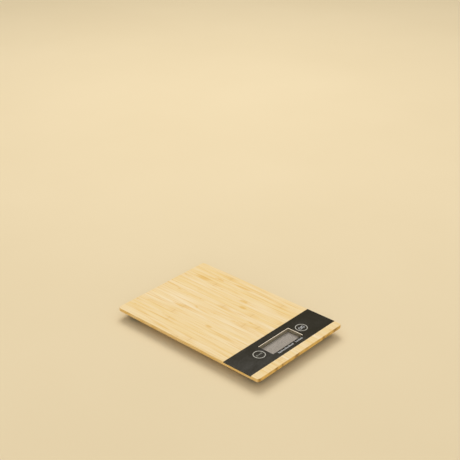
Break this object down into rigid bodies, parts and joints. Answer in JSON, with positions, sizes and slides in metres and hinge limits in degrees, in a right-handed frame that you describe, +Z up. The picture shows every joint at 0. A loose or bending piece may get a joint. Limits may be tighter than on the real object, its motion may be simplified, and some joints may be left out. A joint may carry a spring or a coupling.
{
  "type": "kitchen scale",
  "caption": "Slim digital kitchen scale: bamboo platform with a flush black control panel, recessed display window and two round keys, standing on load-cell feet.",
  "frame": {"origin": "centre of the footprint, on the table the feet stand on", "axes": "+Z up; +Y from the display end to the rear; +X to the right as seen from the display end"},
  "size_m": [0.15, 0.226, 0.015],
  "materials": {
    "bamboo": "laminated bamboo strips, fine sanded, thin matt lacquer",
    "panel_black": "gloss black acrylic with pale cut edges and a light grey print",
    "tape": "translucent double-sided tape",
    "lens_clear": "clear acrylic",
    "foam_black": "closed-cell foam",
    "lcd_glass": "polarised grey display glass",
    "lcd_film": "satin reflector film",
    "moulding_white": "off-white moulded plastic",
    "connector_rubber": "layered silicone connector",
    "board_green": "green solder mask with tinned pads",
    "resin_black": "black potting resin",
    "tin": "bright tinned can",
    "ceramic_tan": "fired ceramic with tinned ends",
    "ceramic_black": "coated chip resistor",
    "moulding_black": "black moulded plastic with a fine spark texture",
    "key_black": "gloss black moulded cap with a light grey printed ring",
    "cell_steel": "bright nickel-plated steel",
    "contact_metal": "sprung plated strip",
    "wire_insulation": "red, white and black insulation",
    "screw_steel": "blackened steel",
    "load_cell_steel": "nickel-plated spring steel",
    "potting_white": "white silicone potting",
    "pad_rubber": "black rubber"
  },
  "bodies": {
    "platform": {"platform_board": "bamboo", "control_panel": "panel_black", "panel_tape": "tape", "display_lens": "lens_clear", "display_gasket": "foam_black", "lcd_front_glass": "lcd_glass", "lcd_rear_glass": "lcd_glass", "lcd_reflector": "lcd_film", "lcd_frame": "moulding_white", "zebra_strips": "connector_rubber", "circuit_board": "board_green", "chip_blob": "resin_black", "crystal": "tin", "capacitors": "ceramic_tan", "resistors": "ceramic_black", "switch_bodies": "moulding_black", "electronics_tray": "moulding_black", "coin_cell": "cell_steel", "battery_contact_plus": "contact_metal", "battery_contact_minus": "contact_metal", "battery_leads": "wire_insulation", "tray_screws": "screw_steel", "board_screws": "screw_steel", "pod_screws": "screw_steel", "lead_cover_left": "moulding_black", "lead_cover_right": "moulding_black", "pod_housing_front_left": "moulding_black", "pod_housing_front_right": "moulding_black", "pod_housing_rear_left": "moulding_black", "pod_housing_rear_right": "moulding_black", "load_cell_front_left": "load_cell_steel", "load_cell_front_right": "load_cell_steel", "load_cell_rear_left": "load_cell_steel", "load_cell_rear_right": "load_cell_steel", "strain_gauge_front_left": "potting_white", "strain_gauge_front_right": "potting_white", "strain_gauge_rear_left": "potting_white", "strain_gauge_rear_right": "potting_white", "leads_front_left": "wire_insulation", "leads_front_right": "wire_insulation", "leads_rear_left": "wire_insulation", "leads_rear_right": "wire_insulation"},
    "unit_key": {"unit_key": "key_black", "unit_plunger": "moulding_white"},
    "tare_key": {"tare_key": "key_black", "tare_plunger": "moulding_white"},
    "battery_door": {"battery_door": "moulding_black", "door_latch": "moulding_black"},
    "foot_front_left": {"foot_cup_front_left": "moulding_black", "foot_pad_front_left": "pad_rubber"},
    "foot_front_right": {"foot_cup_front_right": "moulding_black", "foot_pad_front_right": "pad_rubber"},
    "foot_rear_left": {"foot_cup_rear_left": "moulding_black", "foot_pad_rear_left": "pad_rubber"},
    "foot_rear_right": {"foot_cup_rear_right": "moulding_black", "foot_pad_rear_right": "pad_rubber"}
  },
  "joints": [
    {"name": "unit_key_press", "type": "slide", "parent": "platform", "child": "unit_key", "axis": [0, 0, -1], "range_m": [0, 0.00035], "stiffness_N_per_m": 4000},
    {"name": "tare_key_press", "type": "slide", "parent": "platform", "child": "tare_key", "axis": [0, 0, -1], "range_m": [0, 0.00035], "stiffness_N_per_m": 4000},
    {"name": "battery_door_hinge", "type": "hinge", "parent": "platform", "child": "battery_door", "pos_m": [0, -0.064, 0.002], "axis": [-1, 0, 0], "range_deg": [0, 75], "deforming": ["door_latch"]},
    {"name": "foot_front_left_press", "type": "slide", "parent": "platform", "child": "foot_front_left", "axis": [0, 0, 1], "range_m": [0, 0.0003], "stiffness_N_per_m": 60000, "deforming": ["load_cell_front_left"]},
    {"name": "foot_front_right_press", "type": "slide", "parent": "platform", "child": "foot_front_right", "axis": [0, 0, 1], "range_m": [0, 0.0003], "stiffness_N_per_m": 60000, "deforming": ["load_cell_front_right"]},
    {"name": "foot_rear_left_press", "type": "slide", "parent": "platform", "child": "foot_rear_left", "axis": [0, 0, 1], "range_m": [0, 0.0003], "stiffness_N_per_m": 60000, "deforming": ["load_cell_rear_left"]},
    {"name": "foot_rear_right_press", "type": "slide", "parent": "platform", "child": "foot_rear_right", "axis": [0, 0, 1], "range_m": [0, 0.0003], "stiffness_N_per_m": 60000, "deforming": ["load_cell_rear_right"]}
  ]
}
